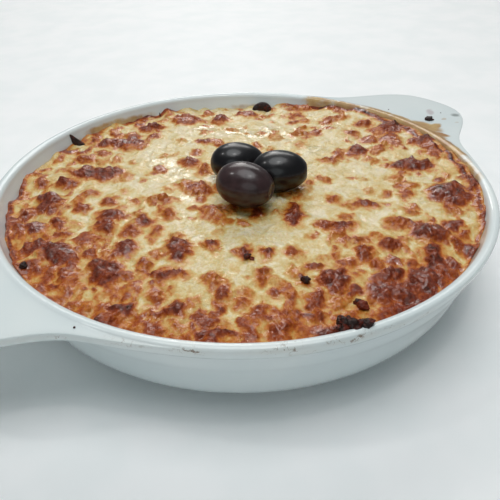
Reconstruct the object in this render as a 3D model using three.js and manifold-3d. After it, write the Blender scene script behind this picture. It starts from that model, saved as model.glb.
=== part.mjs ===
// A round eared baking dish of white porcelain, filled with creamy baked cod under a browned crust,
// with three black olives on top. Millimetres, +Z up. The origin is at the centre of the foot, on the
// surface that the dish stands on, and the two handles lie along X.

import * as THREE from "three";
import { mergeVertices } from "three/addons/utils/BufferGeometryUtils.js";
import Module from "manifold-3d";

// Dish
const RIM_RADIUS = 100; // outer edge of the rim, between the handles
const DISH_HEIGHT = 36; // foot to the top of the rim
const CREST_ROUND = 2.5; // radius of the rim's rounded inner half
const CREST_RADIUS = 98.3; // circle along the top of the rim
const EDGE_DROP = 0.85; // the rim's outer edge below its top
const BAND = { height: 4.1, step: 0.35 }; // upright band round the rim, as thick as the handles
const WALL_LEAN = 0.36; // outward lean of the outer wall, per millimetre of height
const SEAM_HEIGHT = 23.1; // fine raised line round the outer wall
const SEAM_RELIEF = 0.35;
const BODY_CURVE = { low: [80.5, 1.2], a: [89.5, 2.8], b: [92.5, 9.5], high: [93.6, 17] };
const FOOT = { outer: 80, inner: 75.5, recess: 1.5, round: 0.6 };
const FLOOR_HEIGHT = 5; // inside, above the table
const FLOOR_CURVE = { low: [78, FLOOR_HEIGHT], a: [86, FLOOR_HEIGHT], b: [87.3, 9], high: [88.6, 13.8] };
const INNER_TOP = { radius: CREST_RADIUS - CREST_ROUND, height: DISH_HEIGHT - CREST_ROUND };
const DISH_SECTORS = 100;
const HANDLE_CROWDING = 0.35; // sectors are this share narrower at the handles, and wider between them

// Handles: each is the rim pushed outward into a rounded lobe that runs into the rim on a long skirt.
// reach is in millimetres on the X axis, halfAngle in degrees, where a third of it is left, and
// bluntness its exponent: 2 is a bell, more is a flatter lobe with steeper sides.
const LOBE = { reach: 29.9, halfAngle: 15.4, bluntness: 3.2 };
const SKIRT = { reach: 5, halfAngle: 30, bluntness: 4 };
const HANDLE_TOP = DISH_HEIGHT - EDGE_DROP;
const HANDLE_ROOT = 27.8; // height at which the underside meets the wall

// Section of a handle's rounded edge, which closes up to the band away from the handles: height above
// the handle's underside, how far it stands out of the wall, and the share of the reach that it takes.
const HANDLE_EDGE = [
  [-1.1, -BAND.step, 0.12], [-0.2, 0, 0.6], [0, BAND.step, 0.95], [0.7, BAND.step, 0.99],
  [BAND.height / 2, BAND.step / 2, 1], [BAND.height - 0.6, 0, 0.985], [BAND.height, -BAND.step, 0.95],
];
const HANDLE_HOLLOW = { inset: 0.6, rise: 0.15, reach: 0.4 }; // shallow fall from the rim to the handle

// Filling
const CLEARANCE = 0.35; // between neighbouring solids
const CRUST_CENTRE = 32.4; // height of the crust in the middle of the dish
const CRUST_EDGE = 29.4; // and at the wall, on the low side
const CLIMB = { rise: 5.4, angle: -15, halfAngle: 48 }; // the crust climbs the wall beside one handle
const SAG = { drop: 1.4, angle: 50, halfAngle: 15 }; // and lies deepest just past it
const EDGE_FALL = 5; // exponent: high values keep the middle flat
const CALM_MARGIN = 0.1; // outer share of the crust over which its relief dies away
const UNDULATION = { height: 0.45, count: 7, longest: 70, shortest: 30 };
const FILLING_SECTORS = 96;
const FILLING_RINGS = 22;
const SIDE_HEIGHTS = [6.6, 9, 14, 22]; // where the filling's side follows the wall's curve
const SEED = 41;

// Small blisters: how many, how far out, least and most width, least and most depth as a share of the
// width, and greatest height.
const SMALL_BLISTERS = { count: 60, spread: 88, width: [7, 12], oval: [0.6, 1.1], height: 1.6 };

// The larger browned blisters: x, y, width across the view, depth along it, height.
const BLISTERS = [
  [-73, -15, 13, 14, 2.1], [-47, -21, 12, 12, 2.0], [-61, -8, 8, 9, 1.5], [-79, 6, 14, 13, 1.9],
  [-54, 15, 15, 11, 1.8], [-66, 43, 12, 14, 1.9], [-40, 49, 28, 12, 1.8], [-16, -68, 20, 13, 1.9],
  [22, -72, 15, 30, 2.1], [-1, -79, 24, 12, 2.2], [2, -88, 24, 10, 1.6], [0, -33, 8, 17, 1.7],
  [7, -48, 24, 10, 1.7], [65, -36, 22, 9, 1.7], [57, -61, 18, 11, 1.8], [-61, -58, 18, 7, 1.6],
  [-62, -45, 9, 8, 1.7], [-77, -33, 12, 8, 1.6], [59, -12, 10, 9, 1.5], [-31, -71, 9, 11, 1.7],
];
const VIEW_TURN = -40; // degrees, direction of a blister's width
const BUMP_SLOPE = 1.3; // above 1 a bump has a flatter top and steeper sides

// Crags that stand up out of the crust at the wall: x, y, width across the view, depth, height
const CRAGS = [
  [62, 62, 9, 7, 5.2], [-32, 87, 4.5, 6, 4.4], [-29, -86, 13, 6, 3.0], [-21, -80, 7, 6, 2.2],
];

// Olives: half length, half width, middle, direction of the long axis in degrees, pitch in degrees
const OLIVES = [
  { name: "olive_front", half: [11.5, 8.8], at: [-11.2, -15.2, 41.4], turn: -62, pitch: 3, color: 0x38282a },
  { name: "olive_right", half: [11.5, 8.4], at: [7.9, -13.7, 40.2], turn: -39, pitch: -1, color: 0x17161b },
  { name: "olive_back", half: [11.4, 8.1], at: [1.9, 5.9, 38.9], turn: -28, pitch: 2, color: 0x1d191d },
];
const OLIVE_BLUNTNESS = 0.92; // below 1 the ends are fuller than an ellipse's
const STEM_DIMPLE = 0.9; // depth of the stem's scar
const OLIVE_STEPS = 17;
const OLIVE_SECTORS = 20;

const porcelain = new THREE.MeshStandardMaterial({ color: 0xe9eeee, roughness: 0.12, metalness: 0 });
const crust = new THREE.MeshStandardMaterial({ color: 0xcfae74, roughness: 0.42, metalness: 0 });

const wasm = await Module();
wasm.setup();

function clamp01(t) {
  return Math.min(1, Math.max(0, t));
}

function smooth(t) {
  const u = clamp01(t);
  return u * u * (3 - 2 * u);
}

function mix(a, b, t) {
  return a + (b - a) * t;
}

// A repeatable stream of numbers between 0 and 1.
function randomFrom(seed) {
  let state = seed >>> 0;
  return () => {
    state = (Math.imul(state, 1664525) + 1013904223) >>> 0;
    return state / 4294967296;
  };
}

// Signed difference between two directions, in degrees.
function turnBetween(angle, centre) {
  return ((((angle - centre + 180) % 360) + 360) % 360) - 180;
}

function curvePoints({ low, a, b, high }, steps) {
  const [p, q, r, s] = [low, a, b, high].map((point) => new THREE.Vector2(...point));
  return new THREE.CubicBezierCurve(p, q, r, s).getPoints(steps);
}

function arcPoints(centre, radius, from, to, steps) {
  const points = [];
  for (let i = 0; i <= steps; i++) {
    const angle = THREE.MathUtils.degToRad(mix(from, to, i / steps));
    const [across, up] = [radius * Math.cos(angle), radius * Math.sin(angle)];
    points.push(new THREE.Vector2(centre[0] + across, centre[1] + up));
  }
  return points;
}

// How far the rim reaches beyond its circle in a direction.
function handleReach(angle) {
  const turned = Math.min(Math.abs(turnBetween(angle, 0)), Math.abs(turnBetween(angle, 180)));
  const part = (form) => form.reach * Math.exp(-Math.pow(turned / form.halfAngle, form.bluntness));
  return part(LOBE) + part(SKIRT);
}

// Radius of the dish's outer wall at a height.
function outerWall(height) {
  return RIM_RADIUS - WALL_LEAN * (DISH_HEIGHT - EDGE_DROP - height);
}

// Radius of the dish's inner wall at a height.
const innerCurve = curvePoints(FLOOR_CURVE, 5);
function innerWall(height) {
  const [radius, start] = FLOOR_CURVE.high;
  if (height >= start) {
    return mix(radius, INNER_TOP.radius, clamp01((height - start) / (INNER_TOP.height - start)));
  }
  const above = Math.max(1, innerCurve.findIndex((point) => point.y >= height));
  const [p, q] = [innerCurve[above - 1], innerCurve[above]];
  return mix(p.x, q.x, clamp01((height - p.y) / Math.max(1e-6, q.y - p.y)));
}

// A lathed solid with +Z up, open to later shaping of its vertices.
function lathe(points, sectors) {
  const geometry = new THREE.LatheGeometry(points, sectors);
  geometry.rotateX(Math.PI / 2);
  geometry.deleteAttribute("normal");
  geometry.deleteAttribute("uv");
  return geometry;
}

// Vertices on the same spot become one, and faces that this flattens are dropped.
function joined(geometry) {
  const merged = mergeVertices(geometry, 1e-4);
  const old = merged.getIndex().array;
  const kept = [];
  for (let i = 0; i < old.length; i += 3) {
    const [a, b, c] = [old[i], old[i + 1], old[i + 2]];
    if (a !== b && b !== c && c !== a) {
      kept.push(a, b, c);
    }
  }
  merged.setIndex(kept);
  return merged;
}

function toSolid(geometry) {
  const closed = joined(geometry);
  return new wasm.Manifold(new wasm.Mesh({
    numProp: 3,
    vertProperties: new Float32Array(closed.getAttribute("position").array),
    triVerts: new Uint32Array(closed.getIndex().array),
  }));
}

function toGeometry(solid) {
  const mesh = solid.getMesh();
  const geometry = new THREE.BufferGeometry();
  geometry.setAttribute("position", new THREE.BufferAttribute(new Float32Array(mesh.vertProperties), 3));
  geometry.setIndex(new THREE.BufferAttribute(new Uint32Array(mesh.triVerts), 1));
  geometry.computeVertexNormals();
  return geometry;
}

// The dish's section away from the handles, from the middle of its underside round to the middle of
// its floor. reach is the share of a handle's reach that a point takes.
function dishSection() {
  const section = [];
  const add = (point, reach = 0) => section.push({ point, reach });
  const plain = (points) => points.forEach((point) => add(point));
  const onWall = (height, out, reach = 0) => add(new THREE.Vector2(outerWall(height) + out, height), reach);

  add(new THREE.Vector2(0, FOOT.recess));
  add(new THREE.Vector2(FOOT.inner - FOOT.recess, FOOT.recess));
  add(new THREE.Vector2(FOOT.inner, 0));
  add(new THREE.Vector2(FOOT.outer - FOOT.round, 0));
  plain(curvePoints(BODY_CURVE, 5));
  onWall(SEAM_HEIGHT - 1, -SEAM_RELIEF);
  onWall(SEAM_HEIGHT, SEAM_RELIEF);
  onWall(HANDLE_ROOT, -BAND.step);

  HANDLE_EDGE.forEach(([height, out, reach]) => onWall(HANDLE_TOP - BAND.height + height, out, reach));
  const { inset, rise, reach } = HANDLE_HOLLOW;
  add(new THREE.Vector2(RIM_RADIUS - inset, HANDLE_TOP + rise), reach);
  plain(arcPoints([CREST_RADIUS, INNER_TOP.height], CREST_ROUND, 55, 180, 4));
  plain(innerCurve.slice().reverse());
  add(new THREE.Vector2(0, FLOOR_HEIGHT));
  return section;
}

function makeDish() {
  const section = dishSection();
  const geometry = lathe(section.map(({ point }) => point), DISH_SECTORS);
  const position = geometry.getAttribute("position");
  for (let i = 0; i < position.count; i++) {
    const { point, reach } = section[i % section.length];
    const even = (Math.floor(i / section.length) * 2 * Math.PI) / DISH_SECTORS;
    const angle = even - (HANDLE_CROWDING / 2) * Math.sin(2 * even);
    const radius = point.x + reach * handleReach(THREE.MathUtils.radToDeg(angle));
    position.setXYZ(i, radius * Math.cos(angle), radius * Math.sin(angle), point.y);
  }
  return joined(geometry);
}

// Long soft waves of the crust, each a ripple with its own direction, length and start.
const random = randomFrom(SEED);
const waves = Array.from({ length: UNDULATION.count }, () => {
  const direction = random() * 2 * Math.PI;
  const length = mix(UNDULATION.shortest, UNDULATION.longest, random());
  const turns = (2 * Math.PI) / length;
  return { x: turns * Math.cos(direction), y: turns * Math.sin(direction), start: random() * 2 * Math.PI };
});

function undulation(x, y) {
  const sum = waves.reduce((total, wave) => total + Math.sin(wave.x * x + wave.y * y + wave.start), 0);
  return (UNDULATION.height * sum) / Math.sqrt(UNDULATION.count / 2);
}

// A bump is a rounded dome on an oval, turned so that its width lies across the view.
function bump([cx, cy, width, depth, height], x, y) {
  const angle = THREE.MathUtils.degToRad(VIEW_TURN);
  const across = (x - cx) * Math.cos(angle) + (y - cy) * Math.sin(angle);
  const along = (y - cy) * Math.cos(angle) - (x - cx) * Math.sin(angle);
  const distance = Math.hypot((2 * across) / width, (2 * along) / depth);
  return height * smooth(BUMP_SLOPE * (1 - distance));
}

function highest(bumps, x, y) {
  return bumps.reduce((most, one) => Math.max(most, bump(one, x, y)), 0);
}

// Small blisters are scattered evenly over the crust.
const smallBlisters = Array.from({ length: SMALL_BLISTERS.count }, () => {
  const angle = random() * 2 * Math.PI;
  const radius = SMALL_BLISTERS.spread * Math.sqrt(random());
  const width = mix(...SMALL_BLISTERS.width, random());
  const depth = width * mix(...SMALL_BLISTERS.oval, random());
  return [radius * Math.cos(angle), radius * Math.sin(angle), width, depth, SMALL_BLISTERS.height * random()];
});
const allBlisters = [...BLISTERS, ...smallBlisters];

function edgeHeight(angle) {
  const climb = CLIMB.rise * Math.exp(-Math.pow(turnBetween(angle, CLIMB.angle) / CLIMB.halfAngle, 4));
  const sag = SAG.drop * Math.exp(-Math.pow(turnBetween(angle, SAG.angle) / SAG.halfAngle, 2));
  return CRUST_EDGE + climb - sag;
}

// Height of the crust at a place, where share is its distance from the middle as a part of the way out.
function crustHeight(x, y, share) {
  const angle = THREE.MathUtils.radToDeg(Math.atan2(y, x));
  const level = mix(CRUST_CENTRE, edgeHeight(angle), Math.pow(share, EDGE_FALL));
  const relief = 1 - smooth((share - 1 + CALM_MARGIN) / CALM_MARGIN);
  return level + relief * (undulation(x, y) + highest(allBlisters, x, y)) + highest(CRAGS, x, y);
}

function makeFilling(olives) {
  const bottom = FLOOR_HEIGHT + CLEARANCE;
  const points = [new THREE.Vector2(0, bottom), new THREE.Vector2(FLOOR_CURVE.low[0] - 2, bottom)];
  SIDE_HEIGHTS.forEach((height) => points.push(new THREE.Vector2(innerWall(height) - CLEARANCE, height)));
  const firstRing = points.length;
  for (let ring = FILLING_RINGS; ring >= 0; ring--) {
    points.push(new THREE.Vector2(ring, CRUST_CENTRE));
  }
  const geometry = lathe(points, FILLING_SECTORS);
  const position = geometry.getAttribute("position");
  for (let i = 0; i < position.count; i++) {
    const order = i % points.length;
    if (order < firstRing) {
      continue;
    }
    const share = 1 - (order - firstRing) / FILLING_RINGS;
    const angle = (Math.floor(i / points.length) * 2 * Math.PI) / FILLING_SECTORS - Math.PI / 2;
    const edge = edgeHeight(THREE.MathUtils.radToDeg(angle));
    const radius = share * (innerWall(edge) - CLEARANCE);
    const [x, y] = [radius * Math.cos(angle), radius * Math.sin(angle)];
    position.setXYZ(i, x, y, share === 1 ? edge : crustHeight(x, y, share));
  }
  const hollows = olives.map(({ hollow }) => toSolid(hollow));
  return toGeometry(hollows.reduce((filling, hollow) => filling.subtract(hollow), toSolid(geometry)));
}

// An olive's form, lying along X with the stem's dimple at its +X end.
function oliveForm([halfLength, halfWidth], spare = 0) {
  const points = [new THREE.Vector2(0, -halfLength - spare)];
  for (let i = 1; i < OLIVE_STEPS; i++) {
    const angle = (Math.PI * i) / OLIVE_STEPS;
    const radius = (halfWidth + spare) * Math.pow(Math.sin(angle), OLIVE_BLUNTNESS);
    points.push(new THREE.Vector2(radius, -(halfLength + spare) * Math.cos(angle)));
  }
  const dimple = spare > 0 ? 0 : STEM_DIMPLE;
  points.push(new THREE.Vector2(0, halfLength + spare - dimple));
  const form = new THREE.LatheGeometry(points, OLIVE_SECTORS);
  form.rotateZ(-Math.PI / 2);
  form.deleteAttribute("normal");
  form.deleteAttribute("uv");
  return form;
}

function placeOlive({ name, half, at, turn, pitch, color }) {
  const material = new THREE.MeshStandardMaterial({ color, roughness: 0.2, metalness: 0 });
  const mesh = new THREE.Mesh(joined(oliveForm(half)), material);
  mesh.name = name;
  mesh.position.set(...at);
  mesh.rotation.set(0, THREE.MathUtils.degToRad(pitch), THREE.MathUtils.degToRad(turn), "ZYX");
  mesh.updateMatrixWorld();
  const hollow = oliveForm(half, CLEARANCE).applyMatrix4(mesh.matrixWorld);
  return { mesh, hollow };
}

function named(name, geometry, material) {
  const mesh = new THREE.Mesh(geometry, material);
  mesh.name = name;
  return mesh;
}

const olives = OLIVES.map(placeOlive);
const object = new THREE.Group();
object.add(named("gratin_dish", makeDish(), porcelain));
object.add(named("baked_cod", makeFilling(olives), crust));
olives.forEach(({ mesh }) => object.add(mesh));

export default object;
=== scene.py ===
"""A round eared baking dish of creamy baked cod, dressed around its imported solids.

Sizes are in millimetres and MM turns them into metres. The frame is the part's own: +Z up, the two
handles along X, the origin under the middle of the foot.
"""

import math

import bpy
import numpy as np
from mathutils import Matrix, Vector


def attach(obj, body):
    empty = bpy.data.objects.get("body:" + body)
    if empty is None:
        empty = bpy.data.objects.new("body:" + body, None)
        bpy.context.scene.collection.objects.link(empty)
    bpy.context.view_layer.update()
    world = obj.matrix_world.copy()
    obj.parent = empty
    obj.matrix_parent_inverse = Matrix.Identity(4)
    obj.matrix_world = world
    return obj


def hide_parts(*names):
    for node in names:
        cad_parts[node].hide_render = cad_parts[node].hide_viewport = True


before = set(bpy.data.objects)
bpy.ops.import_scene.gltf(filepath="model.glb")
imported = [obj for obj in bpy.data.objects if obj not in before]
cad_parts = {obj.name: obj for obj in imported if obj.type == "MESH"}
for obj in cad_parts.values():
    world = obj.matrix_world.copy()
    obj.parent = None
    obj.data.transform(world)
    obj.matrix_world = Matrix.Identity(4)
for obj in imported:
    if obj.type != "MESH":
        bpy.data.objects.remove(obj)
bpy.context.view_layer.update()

MM = 0.001

# Camera, at the photograph's angle
EYE = (-127.0, -159.1, 142.0)
AIMED_AT = (-26.9, -36.9, 30.0)
CAMERA_ROLL = math.radians(-0.52)
LENS, SENSOR = 39.6, 36.0
PICTURE = 500.0  # picture points across and down

# Dish, as the solid has it
RIM_RADIUS = 100.0
DISH_HEIGHT = 36.0
CREST_ROUND = 2.5
CREST_RADIUS = 98.3
EDGE_DROP = 0.85
BAND_HEIGHT, BAND_STEP = 4.1, 0.24
WALL_LEAN = 0.36
SEAM_HEIGHT, SEAM_RELIEF = 23.1, 0.12
HANDLE_TOP = DISH_HEIGHT - EDGE_DROP
HANDLE_ROOT = 27.8
FOOT_OUTER, FOOT_INNER, FOOT_RECESS = 80.0, 75.5, 1.5
BODY_CURVE = ((80.5, 1.2), (89.5, 2.8), (92.5, 9.5), (93.6, 17.0))
FLOOR_CURVE = ((78.0, 5.0), (86.0, 5.0), (87.3, 9.0), (88.6, 13.8))
INNER_TOP = (CREST_RADIUS - CREST_ROUND, DISH_HEIGHT - CREST_ROUND)
LOBE = (29.9, 15.4, 3.2)  # a handle's reach, half angle and bluntness
SKIRT = (5.0, 30.0, 4.0)  # and those of the long skirt that it runs into the rim on
MIDDLE_RING = 60  # radius of the ring round the flat middle, below and inside
DISH_SECTORS = 112
HANDLE_CROWDING = 0.35

# Crust
CRUST_CENTRE, CRUST_EDGE, EDGE_FALL = 32.4, 29.4, 5
CLIMB, CLIMB_ANGLE, CLIMB_SPREAD = 5.4, -15.0, 48.0
SAG, SAG_ANGLE, SAG_SPREAD = 1.4, 50.0, 15.0
CRUST_GAP = 0.1
EDGE_WAVER, HIGHEST_EDGE = 1.4, 35.4
CALM_EDGE, CALM_WIDTH = 0.985, 0.015  # share of the way out where the relief dies away, and over what width
CRUST_CELLS = 296
SIDE_RINGS = (22.0, 14.0, 9.0, 6.6, 5.35)  # heights at which the filling's side follows the wall
CRUST_LEVEL = 31.8  # level on which places seen in the picture are laid

# Blisters as they show in the picture: middle across and down, width, height and darkness
LEFT_BLISTERS = (
    (104, 270, 32, 25, 0.95), (178, 250, 26, 24, 0.9), (212, 244, 14, 12, 0.85), (125, 247, 17, 16, 0.8),
    (57, 252, 30, 20, 0.9), (112, 216, 30, 10, 0.85), (33, 225, 20, 11, 0.85), (60, 223, 16, 10, 0.85),
    (39, 240, 13, 8, 0.8), (65, 270, 13, 10, 0.7), (62, 286, 17, 11, 0.6), (145, 261, 11, 6, 0.65),
    (165, 273, 46, 7, 0.75), (144, 221, 22, 8, 0.7), (157, 231, 9, 7, 0.6), (169, 214, 14, 11, 0.55),
    (50, 199, 22, 15, 0.85), (84, 302, 14, 10, 0.42), (23, 266, 6, 12, 1.0), (34, 283, 16, 10, 0.6),
    (56, 206, 14, 7, 0.6), (22, 212, 10, 10, 0.6), (59, 233, 18, 5, 0.7), (26, 243, 10, 12, 0.75),
    (68, 256, 14, 10, 0.6), (131, 231, 14, 8, 0.65), (42, 283, 8, 14, 0.75), (125, 295, 9, 9, 0.65),
    (80, 283, 10, 6, 0.45), (109, 202, 14, 7, 0.65), (91, 193, 12, 6, 0.55), (134, 202, 8, 4, 0.6),
    (104, 226, 20, 14, 0.7), (17, 228, 12, 16, 0.7), (48, 268, 16, 12, 0.6), (70, 300, 20, 8, 0.55),
)
FRONT_BLISTERS = (
    (112, 292, 9, 6, 0.65), (153, 292, 12, 10, 0.6), (119, 306, 28, 10, 0.85), (128, 321, 27, 9, 0.5),
    (143, 315, 10, 6, 0.7), (158, 310, 13, 8, 0.7), (177, 307, 18, 13, 0.85), (212, 280, 22, 14, 0.48),
    (222, 292, 16, 12, 0.8), (241, 302, 14, 5, 0.6), (192, 327, 10, 6, 0.7), (214, 329, 46, 12, 0.78),
    (263, 277, 10, 15, 0.6), (278, 291, 12, 7, 0.7), (316, 297, 15, 18, 0.75), (266, 314, 22, 6, 0.7),
    (318, 313, 20, 9, 0.6), (280, 328, 28, 14, 0.62), (325, 328, 24, 9, 0.8), (376, 313, 12, 8, 0.5),
    (250, 332, 26, 7, 0.6), (245, 253, 9, 9, 0.95), (303, 279, 9, 6, 0.95), (361, 303, 9, 7, 0.95),
    (327, 329, 26, 8, 0.98), (100, 312, 16, 8, 0.55), (150, 326, 22, 6, 0.6), (176, 322, 14, 6, 0.55),
)
RIGHT_BLISTERS = (
    (336, 278, 33, 21, 0.8), (312, 264, 18, 8, 0.65), (294, 215, 15, 23, 0.8), (257, 213, 15, 10, 0.72),
    (266, 253, 12, 9, 0.72), (292, 251, 12, 10, 0.68), (365, 253, 16, 16, 0.72), (336, 225, 38, 9, 0.72),
    (390, 243, 24, 10, 0.74), (396, 222, 22, 7, 0.55), (430, 231, 38, 17, 0.85), (434, 254, 22, 26, 0.82),
    (390, 273, 34, 15, 0.8), (410, 290, 46, 22, 0.74), (374, 295, 8, 6, 0.72), (486, 220, 10, 15, 0.8),
    (472, 247, 13, 11, 0.85), (365, 204, 30, 7, 0.7), (456, 203, 20, 9, 0.8), (446, 194, 38, 15, 0.88),
    (411, 167, 44, 10, 0.85), (407, 195, 15, 9, 0.66), (455, 272, 18, 12, 0.5), (355, 240, 26, 6, 0.55),
    (440, 270, 24, 26, 0.74), (404, 306, 48, 14, 0.74), (386, 288, 38, 20, 0.78), (378, 262, 14, 10, 0.6),
    (472, 262, 10, 14, 0.75), (424, 300, 26, 18, 0.8), (452, 286, 20, 14, 0.66), (350, 262, 16, 8, 0.6),
    (426, 276, 30, 26, 0.8),
)
BACK_BLISTERS = (
    (98, 173, 52, 13, 0.8), (66, 182, 22, 9, 0.7), (120, 142, 46, 8, 0.75), (150, 127, 26, 7, 0.75),
    (186, 118, 26, 10, 0.6), (220, 118, 16, 7, 0.7), (248, 112, 22, 5, 0.65), (212, 212, 24, 13, 0.5),
    (190, 163, 17, 9, 0.65), (204, 171, 14, 10, 0.55), (200, 188, 26, 12, 0.62), (232, 208, 15, 10, 0.5),
    (204, 142, 14, 5, 0.75), (390, 131, 23, 10, 0.75), (425, 144, 32, 8, 0.75), (364, 126, 15, 6, 0.65),
    (356, 153, 18, 8, 0.75), (328, 161, 16, 4, 0.6), (334, 199, 12, 4, 0.55), (351, 134, 12, 5, 0.6),
    (369, 141, 16, 6, 0.6), (336, 121, 24, 4, 0.5), (383, 114, 26, 5, 0.7), (472, 187, 11, 18, 0.95),
    (300, 108, 26, 5, 0.5), (84, 158, 22, 6, 0.55), (160, 200, 30, 5, 0.45), (300, 134, 20, 4, 0.45),
)
BLISTERS = LEFT_BLISTERS + FRONT_BLISTERS + RIGHT_BLISTERS + BACK_BLISTERS
BLISTER_RISE, SHRED_HEIGHT, RIDGE_HEIGHT = 2.0, 0.4, 0.7
SUNK = 0.75  # how far the crust lies under its level between the blisters
GOLDEN = 0.44  # tone of the border round a browned patch
BLISTER_BORDER, FLECK_BORDER = 3.0, 1.7
BROWN_START, BROWN_WIDTH = 0.7, 2.2  # how far outside a patch its brown sets in, and over what width
DARKEST_BLISTER = 0.79
NOWHERE_NEAR = -9.0  # depth inside a patch where none is near
DRAWN_OUT = 51.0  # direction in which browned patches are drawn out, in degrees
FLECKS, FLECK_SIZE, FLECK_REACH = 720, 1.9, 93
FLECK_TURN = 60.0  # how far a fleck may turn from that direction, in degrees
SHREDS, SHRED_REACH = 420, 92  # shreds of grated cheese that still show
# Scorched patches: how far they are drawn out, their size, depth, gain by heat and threshold
SCORCH_STRETCH, SCORCH_SIZE, SCORCH_DEPTH, SCORCH_GAIN, SCORCH_LEVEL = 1.6, 7.2, 3.4, 1.4, 1.4
# The oven's heat: its hottest side, the distance from the middle where it sets in and that over which it
# grows, its least and its growth, and the part of that growth on its coolest side
HOTTEST_SIDE = math.radians(-138)
HEAT_START, HEAT_WIDTH = 42, 46
LEAST_HEAT, HEAT_GROWTH, COOLEST_SHARE = 0.14, 0.80, 0.26
# Layers of swells: strength, size and seed
LUMPS = ((0.45, 38, 51), (0.65, 11, 52), (0.42, 5.5, 53))
MELTED_CHEESE = ((0.18, 2.4, 71), (0.10, 1.4, 74))
EDGE_WAVES = ((1.0, 10, 95), (0.5, 4.5, 96))
FRAYING = ((0.6, 5, 91), (0.35, 2, 92))
MOTTLES = ((0.10, 3.2, 31), (0.11, 1.7, 32))
CRUMPLE_ACROSS = ((1.5, 9, 11), (1.3, 4, 12), (0.7, 1.9, 15))
CRUMPLE_ALONG = ((1.5, 9, 13), (1.3, 4, 14), (0.7, 1.9, 16))
# Wet cream that mirrors the window: middle across and down, width and height in the picture
WET_CREAM = (
    (258, 133, 22, 8), (270, 130, 18, 7), (295, 134, 26, 8), (165, 162, 22, 12), (178, 175, 24, 14),
    (330, 127, 22, 6), (235, 130, 24, 7), (190, 196, 20, 14), (315, 150, 24, 8), (205, 128, 20, 7),
)

# Stretches of the crust burnt on along the wall, and painted shade where the crust meets the wall at the
# front and the left: direction and half width in degrees, distance from the wall, thickness and darkness.
# Between them and the wall lies a golden film.
EDGE_SCORCHES_AND_SHADE = (
    # The rows at -150, -112, -62, 166 and 146 degrees paint the shade in the crease between crust and wall as
    # a dark burnt line.
    (-150, 26, 1.0, 0.9, 0.86), (-112, 12, 0.5, 0.9, 0.6), (-62, 14, 0.5, 0.9, 0.7),
    (166, 16, 1.2, 0.9, 0.84), (146, 12, 1.0, 1.4, 0.82), (108, 12, 0.6, 0.9, 0.5), (86, 7, 0.7, 1.4, 0.9),
    (77, 4, 0.8, 1.6, 0.8), (33, 6, 0.8, 1.2, 0.75), (22, 8, 1.0, 2.2, 0.92), (10, 9, 1.4, 2.0, 0.97),
    (-3, 9, 1.8, 1.6, 0.95), (-14, 8, 2.6, 1.4, 0.93), (-26, 10, 3.2, 1.3, 0.93), (-38, 8, 2.8, 1.3, 0.88),
    (-49, 8, 1.5, 1.2, 0.8),
)
FILM_TONE = 0.36  # tone of that film
# Lumps of the crust that climb the wall: direction and half width in degrees, and rise
EDGE_LUMPS = (
    (84, 3, 0.9), (77, 2, 1.8), (70, 2.5, 1.0), (64, 2, 1.8), (57, 3, 1.0), (48, 3, 1.6), (38, 3, 1.0),
    (96, 2, 0.9), (107, 2, 1.2), (121, 2, 1.0), (134, 3, 1.0), (149, 2, 1.0), (163, 3, 0.6), (176, 2, 0.8),
)
# Golden film on the inner wall: direction, half width, top height and strength
WALL_FILM = (
    (99, 8, 34.4, 0.9), (88, 7, 33.6, 0.8), (111, 9, 32.4, 0.5), (25, 6, 38.0, 1.0), (16, 6, 38.0, 1.0),
    (3, 10, 40.4, 1.0), (-11, 9, 41.0, 1.0), (-23, 9, 39.6, 1.0), (-35, 9, 37.4, 0.9), (130, 20, 31.8, 0.4),
    (-70, 16, 35.6, 0.4), (-112, 30, 35.0, 0.3), (-150, 22, 34.6, 0.5), (45, 12, 32.2, 0.6),
    (64, 10, 31.4, 0.3),
)

# Olives: half length, half width, middle, direction of the long axis, pitch, and skin
OLIVES = {
    "olive_front": (11.5, 8.8, (-11.2, -15.2, 41.4), -62, 3, "brown"),
    "olive_right": (11.5, 8.4, (7.9, -13.7, 40.2), -39, -1, "black"),
    "olive_back": (11.4, 8.1, (1.9, 5.9, 38.9), -28, 2, "black"),
}
OLIVE_BLUNTNESS, OLIVE_TAPER = 0.94, 0.07
OLIVE_GAP = 0.15
OLIVE_SPARE = 0.4  # how far the girth swells and shrinks
# Stem's scar: reach from the end, two borders round it, and depth
SCAR_REACH, SCAR_BORDER, SCAR_RIM, SCAR_DEPTH = 0.7, 0.5, 0.35, 0.9

# Burnt scraps that stand in the crust before the back wall: place, depth sunk, and turn, lean back and
# tilt to one side in degrees
STANDS = {
    "curled_scrap": ((63.9, 62.3), 1.5, -42, -4, 12),
    "standing_shard": ((-33.5, 85.2), 0.6, -39, -10, -34),
    "small_spike": ((16.6, 91.6), 0.6, -39, -8, -10),
}
FLAKES = {"standing_shard": (7.6, 2.8, 9.2), "small_spike": (2.0, 1.2, 3.2)}  # width, thickness, height
CURL_RADIUS, CURL_THICKNESS, CURL_CUT = 3.3, 2.3, 1.2  # the cut lies that far under the ring's middle
CHARRED = 1.0  # tone of what has burnt black


# Noise

def swells(x, y, size, seed):
    """Smooth noise from about -1 to 1, with swells of about the size."""
    cells = 256
    turns = np.random.default_rng(seed).uniform(0, 2 * math.pi, (cells, cells))
    u, v = np.asarray(x) / size + 0.37, np.asarray(y) / size + 0.61
    iu, iv = np.floor(u).astype(int), np.floor(v).astype(int)
    fu, fv = u - iu, v - iv

    def corner(du, dv):
        turn = turns[(iu + du) % cells, (iv + dv) % cells]
        return np.cos(turn) * (fu - du) + np.sin(turn) * (fv - dv)

    su, sv = (t * t * t * (t * (t * 6 - 15) + 10) for t in (fu, fv))
    near = corner(0, 0) + su * (corner(1, 0) - corner(0, 0))
    far = corner(0, 1) + su * (corner(1, 1) - corner(0, 1))
    return 1.5 * (near + sv * (far - near))


def rough(x, y, size, seed, octaves=4):
    """Noise with finer and finer swells on top of each other."""
    total = 0
    for octave in range(octaves):
        total = total + swells(x, y, size / 2**octave, seed + octave) / 2**octave
    return total / 1.4


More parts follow.
